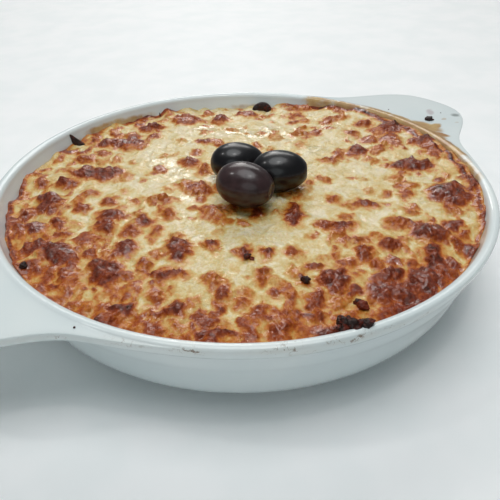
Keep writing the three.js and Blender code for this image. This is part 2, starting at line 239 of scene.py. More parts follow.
def layered(x, y, layers, base=0):
    """Swells of several strengths and sizes on top of a base."""
    return sum((strength * swells(x, y, size, seed) for strength, size, seed in layers), base)


def smooth(t):
    t = np.clip(t, 0, 1)
    return t * t * (3 - 2 * t)


def mix(a, b, t):
    return a + (b - a) * t


# Modelling helpers

def clear_selection():
    if bpy.context.object and bpy.context.object.mode != "OBJECT":
        bpy.ops.object.mode_set(mode="OBJECT")
    bpy.ops.object.select_all(action="DESELECT")


def select_only(piece):
    clear_selection()
    piece.select_set(True)
    bpy.context.view_layer.objects.active = piece


def name_piece(name):
    piece = bpy.context.object
    piece.name = piece.data.name = name
    return piece


def apply_modifier(piece, kind, **settings):
    select_only(piece)
    modifier = piece.modifiers.new(kind.lower(), kind)
    for setting, value in settings.items():
        setattr(modifier, setting, value)
    bpy.ops.object.modifier_apply(modifier=modifier.name)


def settle(piece, material, body="root", stands_for=()):
    """Puts the piece's place into its mesh, smooths it and hands it to the frame."""
    select_only(piece)
    bpy.ops.object.transform_apply(location=True, rotation=True, scale=True)
    bpy.ops.object.mode_set(mode="EDIT")
    bpy.ops.mesh.select_all(action="SELECT")
    bpy.ops.mesh.normals_make_consistent(inside=False)
    bpy.ops.object.mode_set(mode="OBJECT")
    bpy.ops.object.shade_smooth()
    piece.data.materials.clear()
    piece.data.materials.append(material)
    for node in stands_for:
        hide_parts(node)
    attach(piece, body)


def points_of(piece):
    """The mesh's points in millimetres, as rows of x, y and z."""
    places = np.zeros(len(piece.data.vertices) * 3)
    piece.data.vertices.foreach_get("co", places)
    return places.reshape(-1, 3) / MM


def move_points(piece, places):
    piece.data.vertices.foreach_set("co", (np.asarray(places) * MM).ravel())
    piece.data.update()


def paint(piece, name, values):
    """Stores one value for each point, for a material to read."""
    attribute = piece.data.attributes.new(name, "FLOAT", "POINT")
    attribute.data.foreach_set("value", np.asarray(values, np.float32))


def paint_evenly(piece, tone):
    paint(piece, "tone", np.full(len(piece.data.vertices), tone))


def throw_round(name, rings, sectors):
    """A closed round body raised ring by ring from a filled circle, as clay is on a wheel."""
    clear_selection()
    radius, height = rings[0]
    bpy.ops.mesh.primitive_circle_add(vertices=sectors, radius=radius * MM, fill_type="NGON",
                                      location=(0, 0, height * MM))
    body = name_piece(name)
    bpy.ops.object.mode_set(mode="EDIT")
    bpy.ops.mesh.select_all(action="SELECT")
    for next_radius, next_height in rings[1:]:
        rise = (next_height - height) * MM
        bpy.ops.mesh.extrude_region_move(TRANSFORM_OT_translate={"value": (0, 0, rise)})
        share = next_radius / radius
        bpy.ops.transform.resize(value=(share, share, 1), center_override=(0, 0, next_height * MM))
        radius, height = next_radius, next_height
    bpy.ops.object.mode_set(mode="OBJECT")
    bpy.ops.object.transform_apply(location=True, rotation=True, scale=True)
    return body


# Camera

def make_camera():
    data = bpy.data.cameras.new("camera")
    data.lens, data.sensor_width = LENS, SENSOR
    camera = bpy.data.objects.new("camera", data)
    bpy.context.scene.collection.objects.link(camera)
    eye, aim = Vector(EYE) * MM, Vector(AIMED_AT) * MM
    turn = (aim - eye).to_track_quat("-Z", "Y").to_matrix().to_4x4()
    camera.matrix_world = Matrix.Translation(eye) @ turn @ Matrix.Rotation(CAMERA_ROLL, 4, "Z")
    bpy.context.scene.camera = camera
    return camera


camera = make_camera()


def sight(across, down):
    """Direction of the view through a point of the picture."""
    scale = SENSOR / LENS / PICTURE
    way = Vector(((across - PICTURE / 2) * scale, (PICTURE / 2 - down) * scale, -1))
    return camera.matrix_world.to_3x3() @ way


def seen_at(across, down, level):
    """Where the view through a point of the picture meets a level, in millimetres."""
    way = sight(across, down)
    place = Vector(EYE) + way * ((level - EYE[2]) / way.z)
    return np.array([place.x, place.y])


def hit_at(piece, across, down):
    """Where the view through a point of the picture meets a piece, in millimetres."""
    _, place, _, _ = piece.ray_cast(Vector(EYE) * MM, sight(across, down))
    return place / MM


# Dish

def turn_between(angle, centre):
    return (np.asarray(angle) - centre + 180) % 360 - 180


def bezier(points, steps):
    a, b, c, d = (np.array(point) for point in points)
    ts = [i / steps for i in range(steps + 1)]
    return [tuple((1 - t)**3 * a + 3 * (1 - t)**2 * t * b + 3 * (1 - t) * t * t * c + t**3 * d) for t in ts]


def arc(centre, radius, start, stop, steps):
    turns = [math.radians(mix(start, stop, i / steps)) for i in range(steps + 1)]
    return [(centre[0] + radius * math.cos(t), centre[1] + radius * math.sin(t)) for t in turns]


def outer_wall(height):
    return RIM_RADIUS - WALL_LEAN * (HANDLE_TOP - height)


def inner_wall(height):
    """Radius of the dish's inner wall at a height."""
    curve = bezier(FLOOR_CURVE, 12) + [INNER_TOP]
    return np.interp(height, [h for _, h in curve], [r for r, _ in curve])


def handle_reach(angle):
    """How far the rim reaches beyond its circle in a direction."""
    turned = np.minimum(abs(turn_between(angle, 0)), abs(turn_between(angle, 180)))
    return sum(reach * np.exp(-(turned / half)**bluntness) for reach, half, bluntness in (LOBE, SKIRT))


def dish_rings():
    """Radius, height and share of the handles' reach of each ring, from the foot to the inner floor."""
    low = HANDLE_TOP - BAND_HEIGHT
    rings = [(MIDDLE_RING, FOOT_RECESS, 0), (FOOT_INNER - 1.3, FOOT_RECESS, 0), (FOOT_INNER - 0.4, 1.1, 0),
             (FOOT_INNER, 0.2, 0), (FOOT_INNER + 0.7, 0, 0), (FOOT_OUTER - 0.9, 0, 0),
             (FOOT_OUTER - 0.1, 0.25, 0)]
    rings += [(radius, height, 0) for radius, height in bezier(BODY_CURVE, 7)]
    for height, out, reach in (
        (SEAM_HEIGHT - 3.8, 0, 0), (SEAM_HEIGHT - 1.1, -SEAM_RELIEF, 0), (SEAM_HEIGHT + 0.9, SEAM_RELIEF, 0),
        (HANDLE_ROOT - 0.6, -BAND_STEP, 0), (low - 1.4, -BAND_STEP, 0.10), (low - 0.6, -0.2, 0.38),
        (low - 0.2, 0, 0.76), (low + 0.1, 0.1, 0.93), (low + 0.5, 0.2, 0.985), (low + 1.4, BAND_STEP, 1),
        (HANDLE_TOP - 0.8, 0.05, 0.99), (HANDLE_TOP - 0.25, -0.1, 0.972), (HANDLE_TOP - 0.06, -0.2, 0.945),
    ):
        rings.append((outer_wall(height) + out, height, reach))
    rings += [(RIM_RADIUS - 0.26, HANDLE_TOP + 0.03, 0.75), (RIM_RADIUS - 0.28, HANDLE_TOP + 0.06, 0.5),
              (RIM_RADIUS - 0.30, HANDLE_TOP + 0.12, 0.25), (RIM_RADIUS - 0.36, HANDLE_TOP + 0.26, 0.03)]
    crest = arc((CREST_RADIUS, INNER_TOP[1]), CREST_ROUND, 62, 180, 6)
    rings += [(radius, height, 0) for radius, height in crest]
    rings += [(float(inner_wall(height)), height, 0) for height in (31.5, 29.0, 25.0, 20.0)]
    rings += [(radius, height, 0) for radius, height in bezier(FLOOR_CURVE, 5)[::-1]]
    return rings + [(MIDDLE_RING, FLOOR_CURVE[0][1], 0)]


def pull_handles(dish, rings):
    """Pushes each ring outwards into the two lobes, by the share that the ring takes."""
    places = points_of(dish)
    radius, height = np.hypot(places[:, 0], places[:, 1]), places[:, 2]
    table = np.array(rings)
    order = np.argmin(abs(radius[:, None] - table[:, 0]) + abs(height[:, None] - table[:, 1]), axis=1)
    even = np.arctan2(places[:, 1], places[:, 0])
    angle = even - HANDLE_CROWDING / 2 * np.sin(2 * even)
    radius = radius + table[order, 2] * handle_reach(np.degrees(angle))
    move_points(dish, np.column_stack([radius * np.cos(angle), radius * np.sin(angle), height]))


# Soiled stretches of the dish: direction, half width in degrees, height, half height, strength
SOILING = (
    (-137, 4, 34.3, 1.6, 0.7), (-123, 6, 34.6, 1.3, 1.0), (-119, 3, 32.6, 1.6, 0.9),
    (-114, 3, 34.6, 1.2, 0.9), (-109, 4, 34.0, 1.8, 1.0), (-103, 3, 34.0, 1.8, 0.9),
    (-97, 3, 33.0, 1.8, 0.7), (-86, 3, 33.0, 2.2, 0.9),
    (-148, 5, 34.4, 1.2, 0.5), (-162, 14, 33.5, 1.3, 0.6), (-70, 9, 34.5, 1.2, 0.4), (-55, 8, 34.6, 1.2, 0.4),
    (140, 14, 34.0, 1.5, 0.3), (75, 12, 34.0, 1.5, 0.3),
)
# Dried sauce on the right handle and its rim: place, length, width, turn in degrees and strength
SAUCE_RUN = (
    (99.6, -17.0, 24.0, 13.0, 100, 1.0), (104.0, -20.4, 11.0, 6.4, 15, 1.0),
    (97.6, -28.0, 12.0, 6.4, 107, 1.0), (100.0, -3.0, 16.0, 5.0, 90, 0.9),
    (115.3, -17.9, 4.6, 3.0, 20, 0.5), (116.9, -24.3, 3.6, 2.6, 0, 0.4), (89.1, -43.1, 4.6, 2.0, 125, 0.5),
    (86.4, -48.8, 4.4, 1.8, 125, 0.4), (78.2, -57.0, 4.0, 1.8, 130, 0.35),
)
# Grey smudges on the right handle: place, length, width, turn in degrees, strength and colour
SMUDGES = (
    (124.3, -18.5, 5.4, 4.6, 0, 0.75, (128, 134, 130)), (117.9, -7.7, 10.0, 4.4, 35, 0.6, (186, 168, 170)),
)
FILM_FADE = 3.0  # height over which the film on the wall fades out
SPOT_DEPTH = 4.0  # reach of a dried spot up and down


def wall_film(angle, way_up):
    """Strength of the golden film left on the inner wall, thick at the crust and gone at its top."""
    film = np.zeros_like(angle)
    for direction, half, top, strength in WALL_FILM:
        along = np.exp(-(turn_between(angle, direction) / half)**4)
        film = np.maximum(film, strength * along * smooth((top - way_up) / FILM_FADE))
    return film


def soil_dish(dish):
    """Where brown marks have baked on outside and a film inside, as values for each point."""
    x, y, height = points_of(dish).T
    angle, radius = np.degrees(np.arctan2(y, x)), np.hypot(x, y)
    soiling = np.zeros_like(angle)
    for direction, half, middle, half_height, strength in SOILING:
        across = turn_between(angle, direction) / half
        up = (height - middle) / half_height
        soiling = np.maximum(soiling, strength * np.exp(-across**2 - up**2))
    paint(dish, "soiling", soiling * (radius > CREST_RADIUS - 1))
    past_crest = np.maximum(radius - CREST_RADIUS, 0)
    way_up = np.where(past_crest > 0, DISH_HEIGHT + past_crest, height)
    outside = (radius > inner_wall(height) + 1.5) & (height < HANDLE_TOP - 0.1)
    paint(dish, "film", np.where(outside | (radius > RIM_RADIUS + 3), 0, wall_film(angle, way_up)))


def make_dish():
    rings = dish_rings()
    dish = throw_round("glazed_dish", [ring[:2] for ring in rings], DISH_SECTORS)
    pull_handles(dish, rings)
    apply_modifier(dish, "SUBSURF", levels=2, render_levels=2)
    soil_dish(dish)
    settle(dish, glazed_porcelain(), stands_for=["gratin_dish"])


# Crust

def edge_height(angle):
    """Height at which the crust meets the wall, with its waver."""
    climb = CLIMB * np.exp(-(turn_between(angle, CLIMB_ANGLE) / CLIMB_SPREAD)**4)
    sag = SAG * np.exp(-(turn_between(angle, SAG_ANGLE) / SAG_SPREAD)**2)
    x, y = RIM_RADIUS * np.cos(np.radians(angle)), RIM_RADIUS * np.sin(np.radians(angle))
    waver = EDGE_WAVER * layered(x, y, EDGE_WAVES)
    lumps = sum(rise * np.exp(-(turn_between(angle, direction) / half)**2)
                for direction, half, rise in EDGE_LUMPS)
    return np.minimum(CRUST_EDGE + climb - sag + waver + lumps, HIGHEST_EDGE)


def inside_oval(x, y, middle, side, back):
    """About how far a place lies inside an oval's outline, in millimetres, and below 0 outside it."""
    across, along = x - middle[0], y - middle[1]
    area = side[0] * back[1] - side[1] * back[0]
    s, t = (across * back[1] - along * back[0]) / area, (side[0] * along - side[1] * across) / area
    share = np.hypot(s, t) + 1e-6
    steepness = np.hypot(s * back[1] - t * side[1], t * side[0] - s * back[0]) / abs(area) / share
    return (1 - share) / steepness


def laid_oval(across, down, width, height):
    """Middle and half axes of an oval of the picture, laid on the crust."""
    middle = seen_at(across, down, CRUST_LEVEL)
    side = seen_at(across + width / 2, down, CRUST_LEVEL) - middle
    back = seen_at(across, down - height / 2, CRUST_LEVEL) - middle
    return middle, side, back


def oven_heat(x, y):
    """How strongly a place has browned: most along the front and the left."""
    radius, angle = np.hypot(x, y), np.arctan2(y, x)
    side = mix(COOLEST_SHARE, 1, (0.5 + 0.5 * np.cos(angle - HOTTEST_SIDE))**0.6)
    return LEAST_HEAT + HEAT_GROWTH * smooth((radius - HEAT_START) / HEAT_WIDTH) * side


def crumple(x, y):
    """The place that each place takes its pattern from, so that outlines come out ragged."""
    return x + layered(x, y, CRUMPLE_ACROSS), y + layered(x, y, CRUMPLE_ALONG)


def browned(inside, darkness, border):
    """Tone at a depth inside a patch: golden over the border outside it, and brown further in."""
    golden = np.minimum(darkness, GOLDEN)
    halo = smooth((inside + border) / (border + 0.4))**0.85
    return golden * halo + (darkness - golden) * smooth((inside + BROWN_START) / BROWN_WIDTH)


def scattered_flecks(wx, wy):
    """Tone and depth of many small browned flecks, thicker where the oven was hotter."""
    rng = np.random.default_rng(5)
    tone, deep = np.zeros_like(wx), np.full_like(wx, NOWHERE_NEAR)
    for _ in range(FLECKS):
        turn = rng.uniform(0, 2 * math.pi)
        out = FLECK_REACH * math.sqrt(rng.uniform())
        lean = math.radians(DRAWN_OUT + rng.uniform(-FLECK_TURN, FLECK_TURN))
        size = rng.uniform(0.8, 1.25)**4 * FLECK_SIZE
        slim, darkness = rng.uniform(0.5, 0.95), rng.uniform(0.34, 0.74)
        middle = (out * math.cos(turn), out * math.sin(turn))
        if rng.uniform() > oven_heat(*middle) + 0.22:
            continue
        near = (abs(wx - middle[0]) < size + 2) & (abs(wy - middle[1]) < size + 2)
        side = np.array([math.cos(lean), math.sin(lean)]) * size
        back = np.array([-side[1], side[0]]) * slim
        inside = inside_oval(wx[near], wy[near], middle, side, back)
        darkness *= 0.70 + 0.45 * oven_heat(*middle)
        tone[near] = np.maximum(tone[near], browned(inside, darkness, FLECK_BORDER))
        deep[near] = np.maximum(deep[near], inside)
    return tone, deep


def cheese_shreds(wx, wy):
    """Round profiles, from 0 to 1, of shreds of cheese that melted where they fell."""
    rng = np.random.default_rng(17)
    profile = np.zeros_like(wx)
    for _ in range(SHREDS):
        turn = rng.uniform(0, 2 * math.pi)
        out = SHRED_REACH * math.sqrt(rng.uniform())
        lean = rng.uniform(0, math.pi)
        half_length, half_width, height = rng.uniform(3.0, 8.0), rng.uniform(0.8, 1.5), rng.uniform(0.5, 1.0)
        x, y = wx - out * math.cos(turn), wy - out * math.sin(turn)
        near = (abs(x) < half_length + 2) & (abs(y) < half_length + 2)
        along = x[near] * math.cos(lean) + y[near] * math.sin(lean)
        aside = y[near] * math.cos(lean) - x[near] * math.sin(lean)
        away = np.hypot(np.maximum(abs(along) - half_length, 0), aside) / half_width
        profile[near] = np.maximum(profile[near], height * np.sqrt(np.maximum(1 - away**2, 0)))
    return profile


def edge_ridge_and_shade(x, y, gap):
    """How the crust lies burnt on along the wall, with painted shade in the crease at the front and the left:
    tone of its ridge, and tone with the film behind it.
    """
    angle = np.degrees(np.arctan2(y, x))
    ridge, tone = np.zeros_like(x), np.zeros_like(x)
    ragged = layered(x, y, FRAYING, gap)
    for direction, half, inset, thickness, darkness in EDGE_SCORCHES_AND_SHADE:
        along = np.exp(-(turn_between(angle, direction) / half)**4)
        line = along * darkness * np.exp(-((ragged - inset) / thickness)**2)
        ridge = np.maximum(ridge, line)
        tone = np.maximum(tone, np.maximum(line, along * FILM_TONE * (ragged < inset)))
    return ridge, tone


def scorches(x, y, wx, wy, heat):
    """Depth inside the patches scorched where the oven was hottest, and how dark they are."""
    cos, sin = math.cos(math.radians(DRAWN_OUT)), math.sin(math.radians(DRAWN_OUT))
    pattern = rough((wx * cos + wy * sin) / SCORCH_STRETCH, wy * cos - wx * sin, SCORCH_SIZE, 21, 3)
    darkness = np.clip(0.46 + 0.20 * heat + 0.20 * swells(x, y, 17, 25), 0.42, 0.78)
    return SCORCH_DEPTH * (pattern + SCORCH_GAIN * heat - SCORCH_LEVEL), darkness


def browning(x, y, edge, shreds):
    """Tone of each place, from 0, cream, to 1, charred, its depth inside a blister and inside a fleck."""
    wx, wy = crumple(x, y)
    tone, deep = np.zeros_like(x), np.full_like(x, NOWHERE_NEAR)
    for across, down, width, height, darkness in BLISTERS:
        inside = inside_oval(wx, wy, *laid_oval(across, down, width, height))
        tone = np.maximum(tone, browned(inside, min(darkness, DARKEST_BLISTER), BLISTER_BORDER))
        deep = np.maximum(deep, inside)
    heat = oven_heat(x, y)
    scorched, darkness = scorches(x, y, wx, wy, heat)
    tone = np.maximum(tone, browned(scorched, darkness, FLECK_BORDER))
    deep = np.maximum(deep, 0.8 * scorched)
    flecked, fleck_depth = scattered_flecks(wx, wy)
    # edge carries the burnt line along the wall together with the painted shade in the crease at the front
    # and the left.
    tone = np.maximum(np.maximum(tone, flecked), edge)
    ground = 0.10 * smooth((rough(x, y, 16, 27) + 1.5 * heat - 0.75) / 0.9)
    mottle = layered(x, y, MOTTLES) * smooth(tone / 0.5)
    cream = 0.07 + 0.05 * rough(x, y, 5, 41) + 0.06 * swells(x, y, 13, 43) + 0.08 * (shreds - 0.35) * heat
    tone = np.maximum(tone + mottle, ground) + cream * (1 - 0.6 * smooth(tone / 0.5))
    return np.clip(tone, 0, 1), deep, fleck_depth


def wetness(x, y):
    """Where melted cream lies wet, from 0 to 1."""
    wet = np.zeros_like(x)
    for across, down, width, height in WET_CREAM:
        inside = inside_oval(x, y, *laid_oval(across, down, width, height))
        wet = np.maximum(wet, smooth((inside + 3.0) / 5.0))
    return wet


def olive_underside(x, y, half_length, half_width, middle, turn, pitch):
    """Height of an olive's lower side over a place, or far above where it doesn't reach."""
    cos, sin = math.cos(math.radians(turn)), math.sin(math.radians(turn))
    along = (x - middle[0]) * cos + (y - middle[1]) * sin
    aside = (y - middle[1]) * cos - (x - middle[0]) * sin
    inside = 1 - (along / half_length)**2 - (aside / half_width)**2
    axis = middle[2] - along * math.sin(math.radians(pitch))
    return np.where(inside > 0, axis - half_width * np.sqrt(np.maximum(inside, 0)), 99.0)


def crust_height(x, y, share, edge, wet, deep, fleck_depth, shreds, ridge):
    """Height of the crust, where share is the distance from the middle as a part of the way out."""
    level = mix(CRUST_CENTRE, edge, share**EDGE_FALL)
    relief = 1 - smooth((share - CALM_EDGE) / CALM_WIDTH)
    lumps = layered(x, y, LUMPS)
    melted = layered(x, y, MELTED_CHEESE, SHRED_HEIGHT * shreds)
    domes = BLISTER_RISE * smooth((deep + 1.6) / 6.0)
    billows = 0.85 * abs(swells(x, y, 3.4, 72)) + 0.5 * abs(swells(x, y, 1.9, 73)) - 0.3
    bubbles = smooth((deep + 0.6) / 1.8) * billows
    pimples = 0.95 * smooth((fleck_depth + 0.4) / 1.8)
    calm = 1 - 0.6 * wet
    relief = relief * (calm * (lumps + melted) + domes + bubbles + pimples - SUNK)
    return level + relief + RIDGE_HEIGHT * ridge


def make_crust():
    """A fine grid rounded into a disc, with the filling's side and bottom drawn down from its edge."""
    clear_selection()
    rim = float(inner_wall(CRUST_EDGE))
    bpy.ops.mesh.primitive_grid_add(x_subdivisions=CRUST_CELLS, y_subdivisions=CRUST_CELLS,
                                    size=2 * rim * MM, location=(0, 0, CRUST_EDGE * MM))
    crust = name_piece("browned_crust")
    bpy.ops.object.transform_apply(location=True)
    places = points_of(crust)
    a, b = places[:, 0] / rim, places[:, 1] / rim
    wide = abs(a) >= abs(b)
    reach = np.where(wide, a, b)
    slope = np.where(wide, b, a) / np.where(reach == 0, 1, reach)
    turn = np.where(wide, math.pi / 4 * slope, math.pi / 2 - math.pi / 4 * slope)
    share = abs(reach)
    flat = np.column_stack([reach * np.cos(turn), reach * np.sin(turn)])
    angle = np.degrees(np.arctan2(flat[:, 1], flat[:, 0]))
    edge = edge_height(angle)
    radius = inner_wall(edge) - CRUST_GAP
    x, y = flat[:, 0] * radius, flat[:, 1] * radius
    shreds = cheese_shreds(*crumple(x, y))
    # burnt holds the burnt line along the wall with the golden film, and painted shade in the crease at the
    # front and the left.
    ridge, burnt = edge_ridge_and_shade(x, y, radius - np.hypot(x, y))
    tone, deep, fleck_depth = browning(x, y, burnt, shreds)
    wet = wetness(x, y)
    height = crust_height(x, y, share, edge, wet, deep, fleck_depth, shreds, ridge)
    for half_length, half_width, middle, turn_degrees, pitch, _ in OLIVES.values():
        under = olive_underside(x, y, half_length, half_width, middle, turn_degrees, pitch)
        height = np.minimum(height, under - OLIVE_GAP)
    move_points(crust, np.column_stack([x, y, height]))
    paint(crust, "tone", tone)
    paint(crust, "wet", wet)
    draw_side_down(crust)
    settle(crust, browned_crust(), stands_for=["baked_cod"])


def draw_side_down(crust):
    """Extrudes the disc's edge down the wall ring by ring, and closes the bottom."""
    bpy.ops.object.mode_set(mode="EDIT")
    bpy.ops.mesh.select_mode(type="EDGE")
    bpy.ops.mesh.select_all(action="DESELECT")
    bpy.ops.mesh.select_non_manifold(extend=False)
    before = CRUST_EDGE
    for ring in SIDE_RINGS:
        bpy.ops.mesh.extrude_region_move(TRANSFORM_OT_translate={"value": (0, 0, (ring - before) * MM)})
        if ring == SIDE_RINGS[0]:
            bpy.ops.transform.resize(value=(1, 1, 0), center_override=(0, 0, ring * MM))
        share = float(inner_wall(ring) / inner_wall(before))
        bpy.ops.transform.resize(value=(share, share, 1), center_override=(0, 0, ring * MM))
        before = ring
    bpy.ops.mesh.edge_face_add()
    bpy.ops.object.mode_set(mode="OBJECT")


# Olives

def make_olive(name):
    half_length, half_width, middle, turn, pitch, skin = OLIVES[name]
    clear_selection()
    bpy.ops.mesh.primitive_uv_sphere_add(segments=36, ring_count=24, radius=MM)
    olive = name_piece(name + "_skin")
    places = points_of(olive)
    along = places[:, 2]
    round_share = np.sqrt(np.maximum(1 - along**2, 0))
    blunt = half_width * np.maximum(round_share, 0.01)**(OLIVE_BLUNTNESS - 1)
    spare = OLIVE_SPARE * swells(places[:, 0] * 10 + 50, along * 10 + middle[0], 14, 81)
    girth = (blunt + spare) * (1 - OLIVE_TAPER * along)
    move_points(olive, np.column_stack([along * half_length, places[:, 0] * girth, places[:, 1] * girth]))
    press_stem_scar(olive, half_length)
    apply_modifier(olive, "SUBSURF", levels=1, render_levels=1)
    select_only(olive)
    place = Matrix.Translation(Vector(middle) * MM) @ Matrix.Rotation(math.radians(turn), 4, "Z")
    olive.matrix_world = place @ Matrix.Rotation(math.radians(pitch), 4, "Y")
    settle(olive, olive_skin(skin), stands_for=[name])


def press_stem_scar(olive, half_length):
    """Insets the faces round the stem's end and presses them in."""
    bpy.ops.object.mode_set(mode="EDIT")
    bpy.ops.mesh.select_mode(type="FACE")
    bpy.ops.mesh.select_all(action="DESELECT")
    bpy.ops.object.mode_set(mode="OBJECT")
    for polygon in olive.data.polygons:
        polygon.select = polygon.center.x > (half_length - SCAR_REACH) * MM
    bpy.ops.object.mode_set(mode="EDIT")
    bpy.ops.mesh.inset(thickness=SCAR_BORDER * MM, depth=0)
    bpy.ops.mesh.inset(thickness=SCAR_RIM * MM, depth=-SCAR_DEPTH * MM)
    bpy.ops.object.mode_set(mode="OBJECT")


# Crumbs and scraps

# Charred lumps heaped at the rim: middle across and down in the picture and its level, then length, width,
# height and tone
RIM_LUMPS = (
    (346, 327, 33.0, 3.8, 3.2, 3.4, 0.93), (356, 327, 33.4, 3.8, 3.2, 3.2, 0.93),
    (366, 325, 34.2, 3.2, 2.6, 3.0, 0.93), (343, 322, 35.2, 3.4, 3.6, 3.8, 1.0),
    (349, 320, 36.0, 2.6, 2.3, 2.1, 0.96), (346, 328, 34.9, 4.2, 2.6, 2.4, 0.95),
    (353, 324, 35.7, 4.0, 2.8, 2.8, 1.0), (357, 328, 35.4, 3.6, 2.2, 2.0, 0.96),
    (360, 323, 36.1, 2.4, 2.2, 2.3, 0.94), (367, 323, 36.3, 4.4, 2.3, 2.0, 1.0),
    (372, 321, 36.8, 1.8, 1.6, 1.5, 0.95), (339, 328, 34.8, 1.9, 1.7, 1.6, 0.9),
)
# Charred bits on the crust: middle across and down in the picture, length, width, height and tone
CHARRED_BITS = (
    (306, 281, 3.6, 2.8, 2.2, 0.96), (303, 279, 2.0, 1.8, 1.6, 1.0), (363, 306, 4.2, 3.3, 2.6, 0.88),
    (359, 303, 3.0, 2.5, 2.2, 0.99), (247, 256, 2.8, 2.2, 1.5, 0.96), (252, 259, 1.9, 1.5, 1.1, 0.90),
    (23, 266, 3.0, 2.4, 2.2, 1.0),
)
LUMP_LIFT = 0.08  # height of a lump's middle above what carries it, as a part of its height
LUMP_TURN = 40.0  # how far a lump may turn from the way the crust is drawn out, in degrees
# Bits on the handles: place, length, width and height, the crumb first and then specks
HANDLE_BITS = (
    (108.9, -13.6, 4.8, 3.9, 2.6), (-93.3, -39.8, 0.9, 0.8, 0.5), (121.0, -12.0, 0.8, 0.6, 0.3),
    (104.0, 8.0, 0.7, 0.5, 0.3),
)
WELL_ABOVE = 90.0  # height from which a ray looks down for what carries a bit


def lie_on(carrier, x, y):
    """Height in millimetres of the carrier's top at a place."""
    _, place, _, _ = carrier.ray_cast(Vector((x, y, WELL_ABOVE)) * MM, Vector((0, 0, -1)))
    return place.z / MM


def make_lump():
    """A burnt lump one millimetre across: a ball with its points pushed about and a knobbly crust."""
    clear_selection()
    bpy.ops.mesh.primitive_ico_sphere_add(subdivisions=4, radius=0.5 * MM)
    lump = name_piece("lump")
    x, y, z = points_of(lump).T
    knobs = 0.34 * swells(x + 0.7 * z, y - 0.4 * z, 0.62, 101) + 0.18 * swells(x - z, y + z, 0.24, 102)
    move_points(lump, np.column_stack([x, y, z]) * (1 + knobs)[:, None])
    return lump


def scatter_lumps(name, lump, rows):
    """Lays a turned and stretched copy of the lump at each row's place, and joins the copies."""
    rng = np.random.default_rng(len(rows))
    copies = []
    for place, length, width, height, tone in rows:
        select_only(lump)
        bpy.ops.object.duplicate()
        copy = bpy.context.object
        size = Matrix.Diagonal((length, width, height, 1))
        turn = math.radians(DRAWN_OUT - 90 + rng.uniform(-LUMP_TURN, LUMP_TURN))
        spun = Matrix.Rotation(rng.uniform(0, 2 * math.pi), 4, "Z")
        tumble = spun @ Matrix.Rotation(rng.uniform(0, 3), 4, "X")
        at = Matrix.Translation(Vector(place) * MM) @ Matrix.Rotation(turn, 4, "Z")
        copy.matrix_world = at @ size @ tumble
        paint_evenly(copy, tone)
        copies.append(copy)
    clear_selection()
    for copy in copies:
        copy.select_set(True)
    bpy.context.view_layer.objects.active = copies[0]
    bpy.ops.object.join()
    settle(name_piece(name), charred_crumb())


def make_curl():
    """A curl of burnt cheese that arches up: half a ring, its ends sunk in the crust."""
    clear_selection()
    bpy.ops.mesh.primitive_torus_add(major_radius=CURL_RADIUS * MM, minor_radius=CURL_THICKNESS * MM,
                                     major_segments=22, minor_segments=12, rotation=(math.pi / 2, 0, 0))
    curl = name_piece("curled_scrap")
    bpy.ops.object.transform_apply(rotation=True)
    bpy.ops.object.mode_set(mode="EDIT")
    bpy.ops.mesh.select_all(action="SELECT")
    bpy.ops.mesh.bisect(plane_co=(0, 0, -CURL_CUT * MM), plane_no=(0, 0, 1), use_fill=True, clear_inner=True)
    bpy.ops.mesh.select_all(action="SELECT")
    bpy.ops.transform.resize(value=(1.05, 1.0, 1.2))
    bpy.ops.transform.vertex_random(offset=0.5 * MM, normal=0.3, seed=8)
    bpy.ops.object.mode_set(mode="OBJECT")
    apply_modifier(curl, "SUBSURF", levels=2, render_levels=2)
    stand(curl)


def make_flake(name):
    """A burnt flake standing up at the wall: a six-sided point, flattened and left uneven."""
    clear_selection()
    bpy.ops.mesh.primitive_cone_add(vertices=6, radius1=0.5 * MM, radius2=0.06 * MM, depth=MM,
                                    location=(0, 0, 0.3 * MM))
    flake = name_piece(name)
    bpy.ops.object.transform_apply(location=True)
    bpy.ops.object.mode_set(mode="EDIT")
    bpy.ops.mesh.select_all(action="SELECT")
    bpy.ops.mesh.subdivide(number_cuts=2)
    bpy.ops.transform.vertex_random(offset=0.05 * MM, seed=4)
    bpy.ops.object.mode_set(mode="OBJECT")
    flake.scale = FLAKES[name]
    bpy.ops.object.transform_apply(scale=True)
    apply_modifier(flake, "SUBSURF", levels=2, render_levels=2)
    stand(flake)


def stand(piece):
    """Stands a scrap in the crust, sunk a little, turned, leaning back and tilted to one side."""
    place, sunk, turn, lean, tilt = STANDS[piece.name]
    bpy.context.view_layer.update()
    level = lie_on(bpy.data.objects["browned_crust"], *place) - sunk
    at = Matrix.Translation(Vector((*place, level)) * MM) @ Matrix.Rotation(math.radians(turn), 4, "Z")
    back = Matrix.Rotation(math.radians(lean), 4, "X")
    piece.matrix_world = at @ back @ Matrix.Rotation(math.radians(tilt), 4, "Y")
    paint_evenly(piece, CHARRED)
    settle(piece, charred_crumb())


def make_scraps():
    dish, crust = bpy.data.objects["glazed_dish"], bpy.data.objects["browned_crust"]
    bpy.context.view_layer.update()
    rows = [((*seen_at(across, down, level), level), *row) for across, down, level, *row in RIM_LUMPS]
    for across, down, length, width, height, tone in CHARRED_BITS:
        x, y, level = hit_at(crust, across, down)
        rows.append(((x, y, level + LUMP_LIFT * height), length, width, height, tone))
    bits = [((x, y, lie_on(dish, x, y) + LUMP_LIFT * height), length, width, height, CHARRED)
            for x, y, length, width, height in HANDLE_BITS]
    lump = make_lump()
    scatter_lumps("charred_lumps", lump, rows + bits[:1])
    scatter_lumps("rim_specks", lump, bits[1:])
    bpy.data.objects.remove(lump)
    make_curl()
    for name in FLAKES:
        make_flake(name)


# Materials

# Screen colours from 0 to 255; pairs are clouded with each other
GLAZE = ((217, 227, 228), (229, 235, 234))
STAIN, BAKED_ON = (200, 178, 140), (112, 82, 52)
DRIED_SAUCE = ((204, 168, 98), (168, 116, 56))
OLIVE_COLOURS = {"brown": ((40, 24, 25), (66, 45, 46)), "black": ((11, 8, 11), (21, 16, 20))}
FLOOR = ((244, 246, 246), (250, 250, 250))
